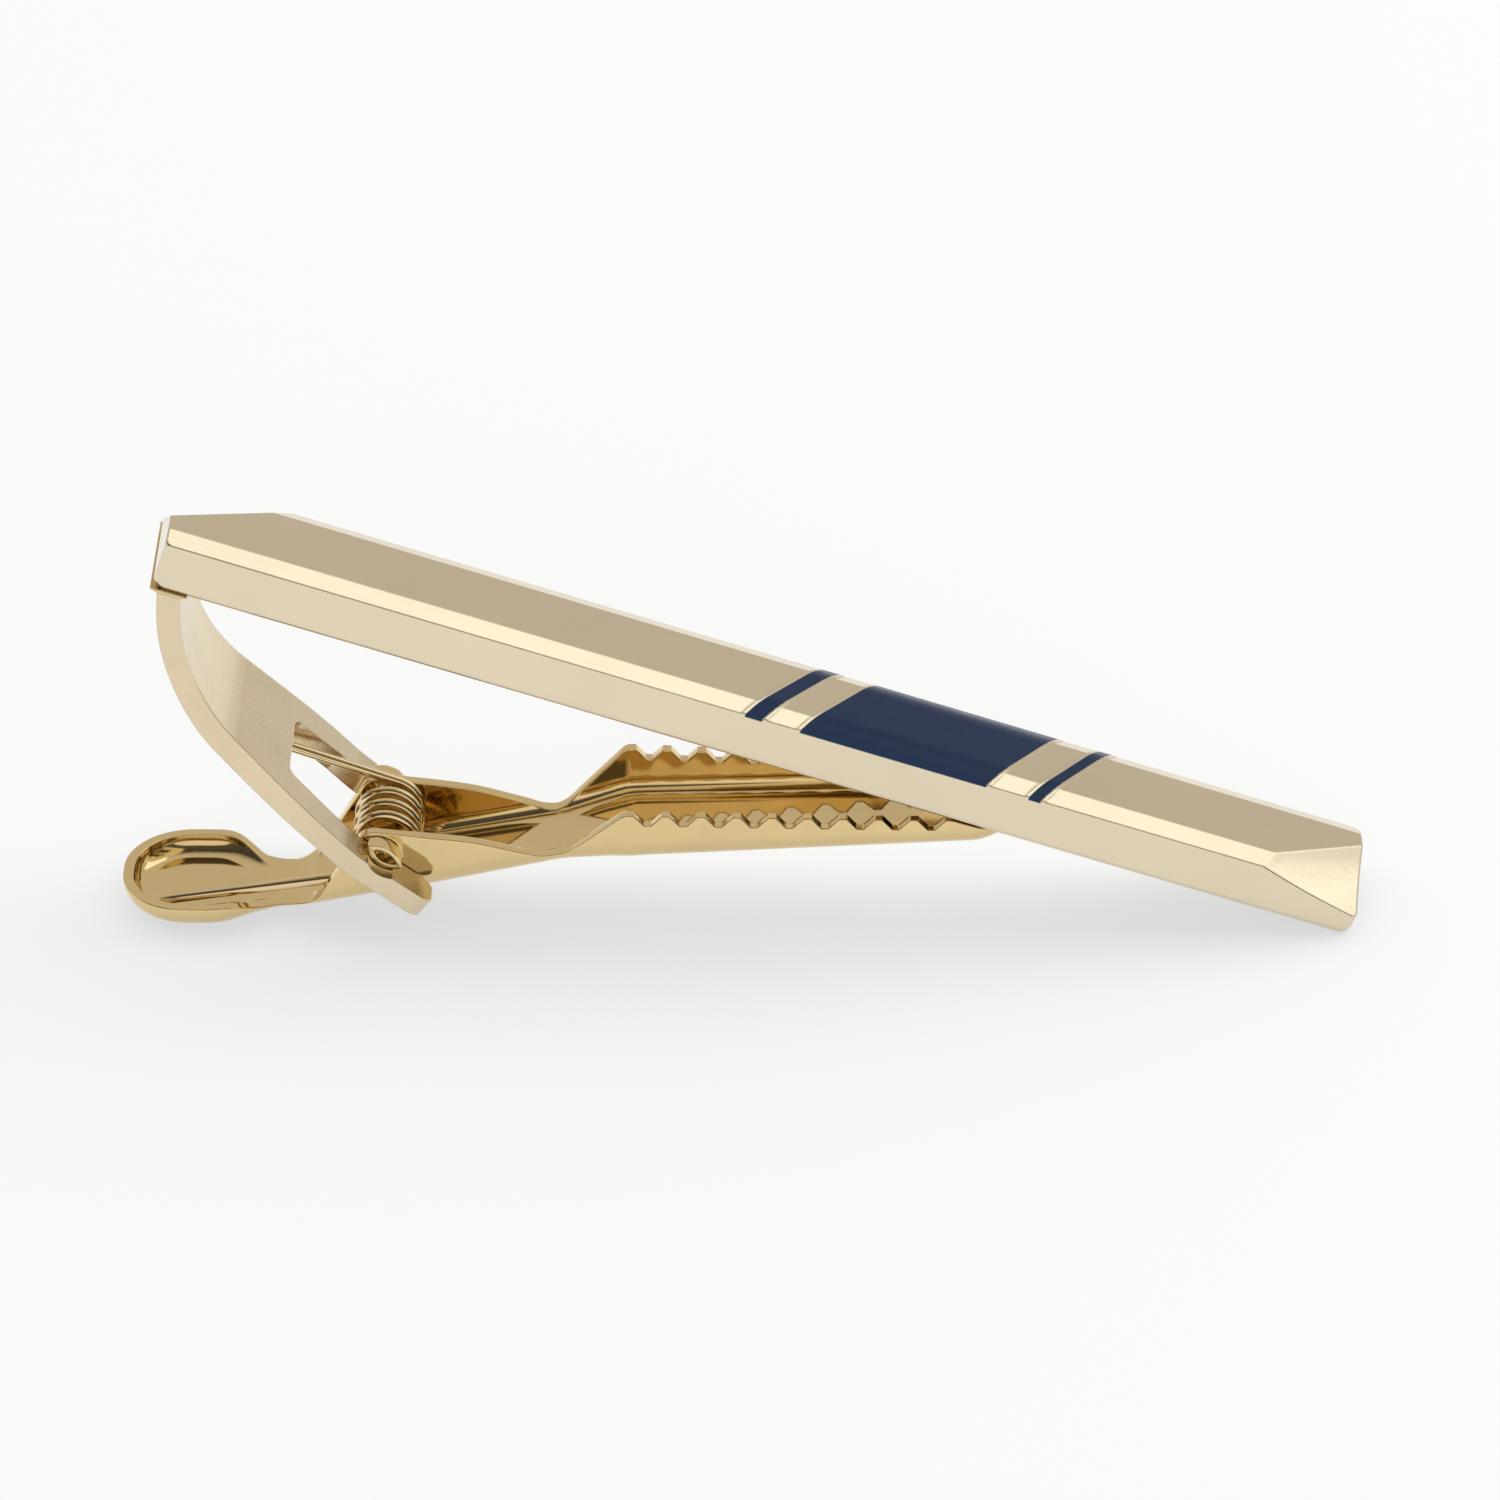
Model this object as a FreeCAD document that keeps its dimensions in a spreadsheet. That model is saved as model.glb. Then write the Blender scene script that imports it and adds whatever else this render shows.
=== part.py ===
import FreeCAD, Part
import math
import os
import Sketcher

# Pinch tie clip: a faceted bar with three inlaid enamel cells, a forked arm soldered
# under its left end, and a toothed jaw that rocks on the fork against a torsion spring.
# Millimetres. X runs along the clip, the thumb spoon at -X; Y runs across it; Z is up.
# The clip lies closed on a table at Z = 0, on its spoon and on the right end of the bar.

doc = FreeCAD.newDocument("tie_clip")
sheet = doc.addObject("Spreadsheet::Sheet", "Sizes")

SIZES = [
    # Bar
    ("bar_length", 60.0), ("bar_width", 6.0), ("bar_side", 2.47), ("bevel_width", 1.0),
    ("bevel_drop", 0.34), ("bar_tilt", 18.76), ("end_round", 0.6), ("edge_round", 0.35),
    # Scooped corners of the bar: near right, far left
    ("scoop_radius", 14.4), ("scoop_run", 6.4), ("scoop_reach", 4.0), ("scoop_depth", 1.65),
    ("heel_scoop_run", 6.4), ("heel_scoop_reach", 3.9), ("heel_scoop_depth", 2.5),
    # Enamel cells, one after another from the free end of the bar
    ("cells_inset", 14.8), ("stripe_narrow_width", 0.6), ("narrow_gap", 2.15),
    ("panel_length", 9.35), ("wide_gap", 1.9), ("stripe_wide_width", 0.85),
    ("cell_slant", 3.95), ("cell_rim", 0.22), ("cell_sink", 0.1), ("crown_rise", 0.06),
    ("crown_lip", 0.04), ("crown_round", 3.0),
    # Rocker pivot: where the lugs of the jaw meet the fork, and the lugs and their seats
    ("hinge_x", -17.263), ("hinge_z", 4.345), ("hinge_along", 1.24), ("hinge_rise", 0.12),
    ("lug_length", 2.0), ("lug_height", 1.0), ("lug_rim", 0.25), ("lug_reach", 0.95),
    ("seat_depth", 0.2), ("seat_gap", 0.03),
    # Forked arm
    ("arm_thick", 1.1), ("arm_length", 12.24), ("arm_angle", 47.3), ("foot_angle", 4.0),
    ("foot_width", 6.0), ("foot_bend", 9.0), ("foot_inset", 0.29), ("tine_length", 4.39),
    ("tine_angle", 37.8), ("tine_bend", 8.0), ("tine_edge", 0.2), ("tine_round", 0.8), ("tine_width", 1.68),
    ("ear_gap", 0.07), ("flare_start", 3.2), ("flare_height", 6.8), ("flare_round", 14.0),
    ("window_length", 4.88), ("window_gap", 0.245), ("window_flare", 3.2),
    ("window_round", 0.5), ("solder_gap", 0.12), ("solder_bead", 0.3),
    # Jaw, from the pivot back to the spoon
    ("jaw_wall", 0.5), ("jaw_round", 1.3), ("ear_back", 3.94), ("waist_run", 1.8),
    ("waist_width", 4.5), ("waist_round", 1.5), ("shoulder_run", 2.0), ("shoulder_round", 2.9),
    ("spoon_length", 5.05), ("spoon_width", 7.0), ("spoon_round", 3.2), ("spoon_rim", 1.36),
    ("dip_rim", 0.66), ("dip_lead", 0.3), ("dip_round", 2.0), ("heel_lead", 0.4),
    ("heel_round", 6.0),
    # Jaw, from the pivot forward to the tip
    ("ear_front", 2.26), ("ear_top_back", 0.94), ("ear_rise", 1.005), ("ear_round", 1.0),
    ("ear_fall_run", 4.26), ("ear_fall_rise", 0.375), ("neck_reach", 8.26),
    ("neck_width", 4.84), ("neck_floor", 3.1), ("neck_side", 0.5), ("neck_round", 1.8),
    ("throat_run", 3.4), ("throat_round", 2.5), ("mouth_length", 18.7), ("mouth_width", 6.4),
    ("mouth_floor", 3.85), ("mouth_side", 2.85), ("tip_width", 5.6), ("tip_round", 2.4),
    ("tip_floor", 4.726), ("floor_round", 12.0), ("bite_gap", 0.06),
    # Teeth
    ("crest_lead", 0.15), ("crest_stop", 3.2), ("crest_round", 0.6), ("tooth_start", 1.15),
    ("tooth_pitch", 1.69), ("tooth_count", 9), ("tooth_depth", 0.55), ("tooth_root", 0.3),
    ("tooth_land", 0.18),
    # Torsion spring
    ("wire_thick", 0.5), ("coil_radius", 1.45), ("coil_span", 3.553), ("coil_turns", 3),
    ("coil_ahead", 0.13), ("coil_gap", 0.36), ("coil_side_gap", 0.0735), ("leg_inset", 1.9),
    ("leg_gap", 0.03), ("leg_past", 1.3),
    # Overrun of cuts past the metal
    ("overrun", 15.0),
]


class Size:
    """A number that carries the sheet expression it comes from."""

    def __init__(self, value, text):
        self.value = float(value)
        self.text = text

    def _other(self, other):
        return other if isinstance(other, Size) else Size(other, repr(float(other)))

    def _join(self, other, sign, value):
        return Size(value, "(%s %s %s)" % (self.text, sign, other.text))

    def __add__(self, other):
        other = self._other(other)
        return self._join(other, "+", self.value + other.value)

    def __sub__(self, other):
        other = self._other(other)
        return self._join(other, "-", self.value - other.value)

    def __mul__(self, other):
        other = self._other(other)
        return self._join(other, "*", self.value * other.value)

    def __truediv__(self, other):
        other = self._other(other)
        return self._join(other, "/", self.value / other.value)

    def __radd__(self, other):
        return self._other(other) + self

    def __rsub__(self, other):
        return self._other(other) - self

    def __rmul__(self, other):
        return self._other(other) * self

    def __neg__(self):
        return Size(-self.value, "(-1 * %s)" % self.text)


def trig(name, size):
    function = {"sin": math.sin, "cos": math.cos, "tan": math.tan}[name]
    return Size(function(math.radians(size.value)), "%s(%s)" % (name, size.text))


def root(size):
    return Size(math.sqrt(size.value), "sqrt(%s)" % size.text)


def arctan(rise, run):
    return Size(math.degrees(math.atan2(rise.value, run.value)),
                "atan2(%s; %s)" % (rise.text, run.text))


S = {}
for row, (alias, number) in enumerate(SIZES, start=1):
    sheet.set("A%d" % row, alias)
    sheet.set("B%d" % row, str(number))
    sheet.setAlias("B%d" % row, alias)
    S[alias] = Size(number, "Sizes." + alias)
doc.recompute()


def bind(obj, path, size):
    obj.setExpression(path, size.text)


def new_body(label):
    body = doc.addObject("PartDesign::Body", label)
    body.Label = label
    return body


def new_sketch(body, name, plane, lift=None, turn=None, at=None):
    """A sketch on an origin plane, lifted along its normal, moved in it or turned."""
    sketch = body.newObject("Sketcher::SketchObject", name)
    support = [item for item in body.Origin.OriginFeatures if item.Role == plane][0]
    sketch.AttachmentSupport = [(support, "")]
    sketch.MapMode = "FlatFace"
    base = FreeCAD.Vector(0, 0, 0)
    rotation = FreeCAD.Rotation()
    if turn is not None:
        axis, angle = turn
        rotation = FreeCAD.Rotation(axis, angle.value)
    sketch.AttachmentOffset = FreeCAD.Placement(base, rotation)
    if turn is not None:
        bind(sketch, "AttachmentOffset.Rotation.Angle", turn[1])
    if lift is not None:
        bind(sketch, "AttachmentOffset.Base.z", lift)
    if at is not None:
        bind(sketch, "AttachmentOffset.Base.x", at[0])
        bind(sketch, "AttachmentOffset.Base.y", at[1])
    return sketch


def fix(sketch, kind, size, *where):
    index = sketch.addConstraint(Sketcher.Constraint(kind, *where, size.value))
    bind(sketch, "Constraints[%d]" % index, size)


def pin(sketch, geometry, position, x, y):
    fix(sketch, "DistanceX", x, -1, 1, geometry, position)
    fix(sketch, "DistanceY", y, -1, 1, geometry, position)


def outline(sketch, corners):
    """A closed outline through corners (x, y, radius); a corner with no radius is sharp."""
    count = len(corners)
    points = [FreeCAD.Vector(c[0].value, c[1].value, 0) for c in corners]
    joints = []
    for i, corner in enumerate(corners):
        before = (points[i] - points[i - 1]).normalize()
        after = (points[(i + 1) % count] - points[i]).normalize()
        if len(corner) == 2:
            joints.append((points[i], points[i], None))
            continue
        radius = corner[2].value
        swing = math.atan2(before.x * after.y - before.y * after.x, before.dot(after))
        reach = radius * math.tan(abs(swing) / 2)
        enter = points[i] - before * reach
        leave = points[i] + after * reach
        side = 1.0 if swing > 0 else -1.0
        centre = enter + FreeCAD.Vector(-before.y, before.x, 0) * radius * side
        joints.append((enter, leave, (centre, radius, side)))
    lines = []
    for i in range(count):
        segment = Part.LineSegment(joints[i][1], joints[(i + 1) % count][0])
        lines.append(sketch.addGeometry(segment, False))
    for i, corner in enumerate(corners):
        enter, leave, arc = joints[i]
        if arc is None:
            sketch.addConstraint(Sketcher.Constraint("Coincident", lines[i - 1], 2, lines[i], 1))
            pin(sketch, lines[i], 1, corner[0], corner[1])
            continue
        centre, radius, side = arc
        first, last = (enter, leave) if side > 0 else (leave, enter)
        from_angle = math.atan2(first.y - centre.y, first.x - centre.x)
        to_angle = math.atan2(last.y - centre.y, last.x - centre.x)
        circle = Part.Circle(centre, FreeCAD.Vector(0, 0, 1), radius)
        curve = sketch.addGeometry(Part.ArcOfCircle(circle, from_angle, to_angle), False)
        point = sketch.addGeometry(Part.Point(points[i]), True)
        ends = (1, 2) if side > 0 else (2, 1)
        sketch.addConstraint(Sketcher.Constraint("Tangent", lines[i - 1], 2, curve, ends[0]))
        sketch.addConstraint(Sketcher.Constraint("Tangent", lines[i], 1, curve, ends[1]))
        sketch.addConstraint(Sketcher.Constraint("PointOnObject", point, 1, lines[i - 1]))
        sketch.addConstraint(Sketcher.Constraint("PointOnObject", point, 1, lines[i]))
        pin(sketch, point, 1, corner[0], corner[1])
        fix(sketch, "Radius", corner[2], curve)


def pad(body, name, sketch, length, symmetric=False):
    feature = body.newObject("PartDesign::Pad", name)
    feature.Profile = sketch
    feature.SideType = "Symmetric" if symmetric else "One side"
    bind(feature, "Length", length)
    doc.recompute()
    return feature


def cut(body, name, sketch):
    """Cut a sketch right through the body, both ways, and see that it takes metal away."""
    volume = body.Shape.Volume
    feature = body.newObject("PartDesign::Pocket", name)
    feature.Profile = sketch
    feature.SideType = "Symmetric"
    feature.Type = "ThroughAll"
    doc.recompute()
    if not body.Shape.Volume < volume:
        raise RuntimeError(name + " cut nothing")
    return feature


def fillet(body, name, base, chosen, radius):
    names = ["Edge%d" % (i + 1) for i, edge in enumerate(base.Shape.Edges) if chosen(edge)]
    feature = body.newObject("PartDesign::Fillet", name)
    feature.Base = (base, names)
    bind(feature, "Radius", radius)
    doc.recompute()
    return feature


ZERO = Size(0, "0")
NEAR = 1e-4
GAP_POINTS = 400

# Levels, places and directions that several pieces share
bar_top = S["bar_side"] + S["bevel_drop"]
half_length = S["bar_length"] / 2
half_width = S["bar_width"] / 2
clear = S["overrun"]
tilt_sin, tilt_cos = trig("sin", S["bar_tilt"]), trig("cos", S["bar_tilt"])
lean_sin, lean_cos = trig("sin", S["foot_angle"]), trig("cos", S["foot_angle"])
arm_sin, arm_cos = trig("sin", S["arm_angle"]), trig("cos", S["arm_angle"])
tine_sin, tine_cos = trig("sin", S["tine_angle"]), trig("cos", S["tine_angle"])
hinge_x, hinge_z = S["hinge_x"], S["hinge_z"]
lug_half = S["lug_length"] / 2
lug_radius = (lug_half * lug_half / S["lug_height"] + S["lug_height"] / 4)
axis_rise = lug_radius - S["seat_depth"] - S["hinge_rise"]
axis_x = hinge_x + axis_rise * tine_sin
axis_z = hinge_z + axis_rise * tine_cos
ear_back_x = hinge_x - S["ear_back"]
waist_x = ear_back_x - S["waist_run"]
shoulder_x = waist_x - S["shoulder_run"]
spoon_x = shoulder_x - S["spoon_length"]
heel_x = waist_x - S["heel_lead"]
neck_x = hinge_x + S["neck_reach"]
mouth_x = neck_x + S["throat_run"]
tip_x = mouth_x + S["mouth_length"]
ear_half = S["coil_span"] / 2 + S["wire_thick"] / 2 + S["coil_side_gap"] + S["jaw_wall"]
tine_gap_half = ear_half + S["ear_gap"]
fork_half = tine_gap_half + S["tine_width"]
window_half = S["coil_span"] / 2 + S["wire_thick"] / 2 + S["window_gap"]

# The closed bar lies on the tip of the jaw: its underside, as a distance from the origin
bar_level = tip_x * tilt_sin + (S["tip_floor"] + S["jaw_wall"]) * tilt_cos + S["bite_gap"]


def under_bar(x, gap):
    """Height of the bar's underside at x, less a gap square to it."""
    return (bar_level - gap - x * tilt_sin) / tilt_cos


# Strip of the arm: corners of its inner face, from the tines up, then of its outer face
thick = S["arm_thick"]
knee_in = (hinge_x - S["hinge_along"] * tine_cos - S["hinge_rise"] * tine_sin,
           hinge_z + S["hinge_along"] * tine_sin - S["hinge_rise"] * tine_cos)
tip_in = (knee_in[0] + S["tine_length"] * tine_cos, knee_in[1] - S["tine_length"] * tine_sin)
bend_in = (knee_in[0] - S["arm_length"] * arm_cos, knee_in[1] + S["arm_length"] * arm_sin)
foot_height = (bar_level - S["solder_gap"] - bend_in[0] * tilt_sin - bend_in[1] * tilt_cos)
foot_length = foot_height / trig("cos", S["bar_tilt"] - S["foot_angle"])
foot_in = (bend_in[0] + foot_length * lean_sin, bend_in[1] + foot_length * lean_cos)
foot_skew = thick * trig("tan", S["bar_tilt"] - S["foot_angle"])
foot_out = (foot_in[0] - thick * lean_cos + foot_skew * lean_sin,
            foot_in[1] + thick * lean_sin + foot_skew * lean_cos)
bend_miter = thick / (1 + trig("sin", S["arm_angle"] - S["foot_angle"]))
bend_out = (bend_in[0] - bend_miter * (lean_cos + arm_sin),
            bend_in[1] - bend_miter * (arm_cos - lean_sin))
knee_miter = thick / (1 + trig("cos", S["arm_angle"] - S["tine_angle"]))
knee_out = (knee_in[0] - knee_miter * (arm_sin + tine_sin),
            knee_in[1] - knee_miter * (arm_cos + tine_cos))
tip_out = (tip_in[0] - thick * tine_sin, tip_in[1] - thick * tine_cos)
bar_mid_x = foot_out[0] - S["foot_inset"] + half_length * tilt_cos
bar_mid_z = under_bar(bar_mid_x, ZERO)


def place_on_bar(body):
    body.Placement = FreeCAD.Placement(
        FreeCAD.Vector(bar_mid_x.value, 0, bar_mid_z.value),
        FreeCAD.Rotation(FreeCAD.Vector(0, 1, 0), S["bar_tilt"].value))
    bind(body, "Placement.Base.x", bar_mid_x)
    bind(body, "Placement.Base.z", bar_mid_z)
    bind(body, "Placement.Rotation.Angle", S["bar_tilt"])


# Enamel cells: slanted bands across the crowned face of the bar
def cell_corners(start, width, rim):
    """Four corners of a slanted band, a rim wider than the cell all along."""
    over = half_width + S["cell_rim"]
    lean = S["cell_slant"] * over / S["bar_width"]
    first = start - half_length - rim
    last = start + width - half_length + rim
    return [(first - lean, -over), (last - lean, -over), (last + lean, over), (first + lean, over)]


narrow_start = S["bar_length"] - S["cells_inset"] - S["stripe_narrow_width"]
panel_start = narrow_start - S["narrow_gap"] - S["panel_length"]
wide_start = panel_start - S["wide_gap"] - S["stripe_wide_width"]
CELLS = [
    ("enamel_stripe_wide", wide_start, S["stripe_wide_width"]),
    ("enamel_panel", panel_start, S["panel_length"]),
    ("enamel_stripe_narrow", narrow_start, S["stripe_narrow_width"]),
]
cell_floor = S["bar_side"] - S["cell_sink"]
crown_top = bar_top + S["crown_rise"]
crown_edge = S["bar_side"] + S["crown_lip"]
crown_shoulder = half_width - S["bevel_width"] + S["crown_rise"]


def trim_to_crown(body, name):
    """Take away all that stands above the crowned face or past the bar's sides."""
    sketch = new_sketch(body, name + "_sketch", "YZ_Plane")
    outline(sketch, [
        (-clear, -clear), (-half_width, -clear), (-half_width, crown_edge),
        (-crown_shoulder, crown_top, S["crown_round"]),
        (crown_shoulder, crown_top, S["crown_round"]),
        (half_width, crown_edge), (half_width, -clear), (clear, -clear),
        (clear, clear), (-clear, clear)])
    return cut(body, name, sketch)


# Front bar
bar = new_body("front_bar")
section = new_sketch(bar, "bar_section", "YZ_Plane")
outline(section, [
    (-half_width, ZERO), (half_width, ZERO), (half_width, S["bar_side"]),
    (half_width - S["bevel_width"], bar_top), (S["bevel_width"] - half_width, bar_top),
    (-half_width, S["bar_side"])])
bar_pad = pad(bar, "bar_pad", section, S["bar_length"], symmetric=True)


def at_bar_end(edge):
    box = edge.BoundBox
    return box.XLength < NEAR and abs(abs(box.Center.x) - half_length.value) < NEAR


def end_foot(edge):
    return at_bar_end(edge) and edge.BoundBox.ZMax < NEAR


def end_corner(edge):
    box = edge.BoundBox
    upright = box.YLength < NEAR and box.ZLength > NEAR
    return upright and abs(box.Center.x) > half_length.value - NEAR


bar_foot = fillet(bar, "bar_end_foot", bar_pad, end_foot, S["end_round"])
bar_corner = fillet(bar, "bar_end_corner", bar_foot, end_corner, S["edge_round"])
bands = new_sketch(bar, "cell_bands", "XY_Plane", lift=cell_floor)
for label, start, width in CELLS:
    outline(bands, cell_corners(start, width, S["cell_rim"]))
pad(bar, "cell_band_pad", bands, S["bar_side"])
trim_to_crown(bar, "crown_trim")
pockets = new_sketch(bar, "cell_pockets", "XY_Plane", lift=cell_floor)
for label, start, width in CELLS:
    outline(pockets, cell_corners(start, width, ZERO))
cell_cut = bar.newObject("PartDesign::Pocket", "cell_pocket")
cell_cut.Profile = pockets
cell_cut.Type = "Length"
cell_cut.Reversed = True
bind(cell_cut, "Length", S["bar_side"])
doc.recompute()


def round_cut(body, name, plane, at, radius, height, turn=None):
    """Cut a cylinder whose axis is square to a plane, or turned from that about its y."""
    volume = body.Shape.Volume
    cutter = body.newObject("PartDesign::SubtractiveCylinder", name)
    support = [item for item in body.Origin.OriginFeatures if item.Role == plane][0]
    cutter.AttachmentSupport = [(support, "")]
    cutter.MapMode = "FlatFace"
    if turn is not None:
        cutter.AttachmentOffset = FreeCAD.Placement(
            FreeCAD.Vector(0, 0, 0), FreeCAD.Rotation(FreeCAD.Vector(0, 1, 0), turn.value))
        bind(cutter, "AttachmentOffset.Rotation.Angle", turn)
    for axis, size in zip("xyz", at):
        bind(cutter, "AttachmentOffset.Base." + axis, size)
    bind(cutter, "Radius", radius)
    bind(cutter, "Height", height)
    doc.recompute()
    if not body.Shape.Volume < volume:
        raise RuntimeError(name + " cut nothing")
    return cutter


def scoop(name, run, reach, depth, end):
    """Hollow one upper corner of the bar: end 1 is the near right one, -1 the far left."""
    length = root(run * run + reach * reach)
    across = run * reach / length
    chord = root(across * across + depth * depth)
    rise = root(S["scoop_radius"] * S["scoop_radius"] - chord * chord / 4)
    out = across / 2 + rise * depth / chord
    high = bar_top - depth / 2 + rise * across / chord
    back = 1 if end > 0 else 2
    base_x = (half_length - run + out * reach / length) * end - run * back
    base_y = (-half_width - out * run / length) * end - reach * back
    round_cut(bar, name, "YZ_Plane", (base_y, high, base_x), S["scoop_radius"], length * 3,
              arctan(reach, run))


scoop("near_scoop", S["scoop_run"], S["scoop_reach"], S["scoop_depth"], 1)
scoop("far_scoop", S["heel_scoop_run"], S["heel_scoop_reach"], S["heel_scoop_depth"], -1)
place_on_bar(bar)

for label, start, width in CELLS:
    cell = new_body(label)
    sketch = new_sketch(cell, label + "_outline", "XY_Plane", lift=cell_floor)
    outline(sketch, cell_corners(start, width, ZERO))
    pad(cell, label + "_pad", sketch, S["bar_side"])
    trim_to_crown(cell, label + "_crown")
    place_on_bar(cell)

# Forked arm: a strip bent twice, then cut to its outline
arm = new_body("spring_arm")
sketch = new_sketch(arm, "arm_profile", "XZ_Plane")
outline(sketch, [
    foot_in, bend_in + (S["foot_bend"],), knee_in + (S["tine_bend"],),
    tip_in + (S["tine_edge"],), tip_out + (S["tine_edge"],),
    knee_out + (S["tine_bend"] + thick,), bend_out + (S["foot_bend"] + thick,), foot_out])
pad(arm, "arm_strip", sketch, fork_half * 2, symmetric=True)
sketch = new_sketch(arm, "arm_sides", "YZ_Plane")
arm_high = foot_out[1] + clear
flare_foot = hinge_z + S["flare_start"]
for side in (-1, 1):
    outline(sketch, [
        (S["foot_width"] / 2 * side, arm_high),
        (S["foot_width"] / 2 * side, flare_foot + S["flare_height"], S["flare_round"]),
        (fork_half * side, flare_foot, S["flare_round"]), (fork_half * side, -clear),
        ((fork_half + clear) * side, -clear), ((fork_half + clear) * side, arm_high)])
cut(arm, "arm_side_cut", sketch)
window_top = knee_in[1] * arm_sin - knee_in[0] * arm_cos + S["window_length"]
window_foot = window_top - S["window_length"] - clear
sketch = new_sketch(arm, "arm_window", "YZ_Plane",
                    turn=(FreeCAD.Vector(1, 0, 0), S["arm_angle"] - 90))
outline(sketch, [
    (window_half, window_top, S["window_round"]),
    (-window_half, window_top, S["window_round"]),
    (-tine_gap_half, window_top - S["window_flare"], S["window_round"]),
    (-tine_gap_half, window_foot), (tine_gap_half, window_foot),
    (tine_gap_half, window_top - S["window_flare"], S["window_round"])])
cut(arm, "arm_window_cut", sketch)
tine_foot = tip_in[1] * tine_sin - tip_in[0] * tine_cos
sketch = new_sketch(arm, "tine_ends", "YZ_Plane",
                    turn=(FreeCAD.Vector(1, 0, 0), S["tine_angle"] - 90))
tine_side = S["tine_width"] / 2
for side in (-1, 1):
    outline(sketch, [
        ((tine_gap_half - tine_side) * side, tine_foot + tine_side * 2),
        (tine_gap_half * side, tine_foot + tine_side * 2),
        (tine_gap_half * side, tine_foot, S["tine_round"]),
        (fork_half * side, tine_foot, S["tine_round"]),
        (fork_half * side, tine_foot + tine_side * 2),
        ((fork_half + tine_side) * side, tine_foot + tine_side * 2),
        ((fork_half + tine_side) * side, tine_foot - tine_side),
        ((tine_gap_half - tine_side) * side, tine_foot - tine_side)])
cut(arm, "tine_end_cut", sketch)
round_cut(arm, "lug_seat", "XZ_Plane", (axis_x, axis_z, -fork_half),
          lug_radius + S["seat_gap"], fork_half * 2)

# Solder seam between the arm's foot and the bar
seam = new_body("solder_seam")
sketch = new_sketch(seam, "seam_profile", "XZ_Plane")
bead = S["solder_bead"]
outline(sketch, [
    foot_in, (foot_in[0] + bead, under_bar(foot_in[0] + bead, ZERO)),
    (foot_out[0] - bead, under_bar(foot_out[0] - bead, ZERO)), foot_out])
pad(seam, "seam_pad", sketch, S["foot_width"], symmetric=True)

# Jaw: one sheet-metal trough, from thumb spoon to toothed mouth
jaw = new_body("jaw")
sketch = new_sketch(jaw, "jaw_plan", "XY_Plane")
half_plan = [
    (tip_x, S["tip_width"] / 2, S["tip_round"]),
    (mouth_x, S["mouth_width"] / 2, S["throat_round"]),
    (neck_x, S["neck_width"] / 2, S["throat_round"]),
    (hinge_x + S["ear_front"], ear_half, S["floor_round"]),
    (ear_back_x, ear_half, S["shoulder_round"]),
    (waist_x, S["waist_width"] / 2, S["waist_round"]),
    (shoulder_x, S["spoon_width"] / 2, S["shoulder_round"]),
    (spoon_x, S["spoon_width"] / 2, S["spoon_round"])]
outline(sketch, half_plan + [(x, -y, r) for x, y, r in reversed(half_plan)])
pad(jaw, "jaw_blank", sketch, clear)
floor_slope = (S["tip_floor"] - S["mouth_floor"]) / (tip_x - mouth_x)
sketch = new_sketch(jaw, "jaw_floor", "XZ_Plane")
outline(sketch, [
    (heel_x, ZERO, S["heel_round"]),
    (neck_x, S["neck_floor"], S["floor_round"]),
    (mouth_x, S["mouth_floor"], S["floor_round"]),
    (tip_x + clear, S["tip_floor"] + floor_slope * clear),
    (tip_x + clear, -clear), (spoon_x - clear, -clear), (spoon_x - clear, ZERO)])
jaw_floor = cut(jaw, "jaw_floor_cut", sketch)


def floor_edge(edge):
    box = edge.BoundBox
    low = box.ZMax < clear.value / 2
    side_faces = jaw_floor.Shape.ancestorsOfType(edge, Part.Face)
    uprights = [face for face in side_faces if abs(face.normalAt(0, 0).z) < NEAR]
    return low and len(uprights) == 1


rounded = fillet(jaw, "jaw_floor_round", jaw_floor, floor_edge, S["jaw_round"])
top = max(range(len(rounded.Shape.Faces)), key=lambda i: rounded.Shape.Faces[i].CenterOfMass.z)
shell = jaw.newObject("PartDesign::Thickness", "jaw_shell")
shell.Base = (rounded, ["Face%d" % (top + 1)])
shell.Mode = "Skin"
shell.Join = "Arc"
shell.Reversed = True
bind(shell, "Value", S["jaw_wall"])
doc.recompute()

crest_x = mouth_x - S["crest_lead"]
crest_start = S["mouth_floor"] + S["mouth_side"]
crest_end_x = tip_x - S["crest_stop"]
crest_end = under_bar(crest_end_x, S["bite_gap"])
tip_past = tip_x + clear
sketch = new_sketch(jaw, "jaw_rim", "XZ_Plane")
outline(sketch, [
    (spoon_x - clear, S["spoon_rim"]),
    (shoulder_x + S["dip_lead"], S["spoon_rim"], S["dip_round"]),
    (waist_x - S["dip_lead"], S["dip_rim"], S["dip_round"]),
    (ear_back_x + S["dip_lead"], S["dip_rim"], S["dip_round"]),
    (hinge_x - S["ear_top_back"], hinge_z + S["ear_rise"], S["ear_round"]),
    (hinge_x + S["ear_fall_run"], hinge_z + S["ear_fall_rise"], S["floor_round"]),
    (neck_x, S["neck_floor"] + S["neck_side"], S["neck_round"]),
    (crest_x, crest_start, S["crest_round"]), (crest_end_x, crest_end),
    (tip_past, under_bar(tip_past, S["bite_gap"])), (tip_past, clear + clear),
    (spoon_x - clear, clear + clear)])
cut(jaw, "jaw_rim_cut", sketch)

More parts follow.
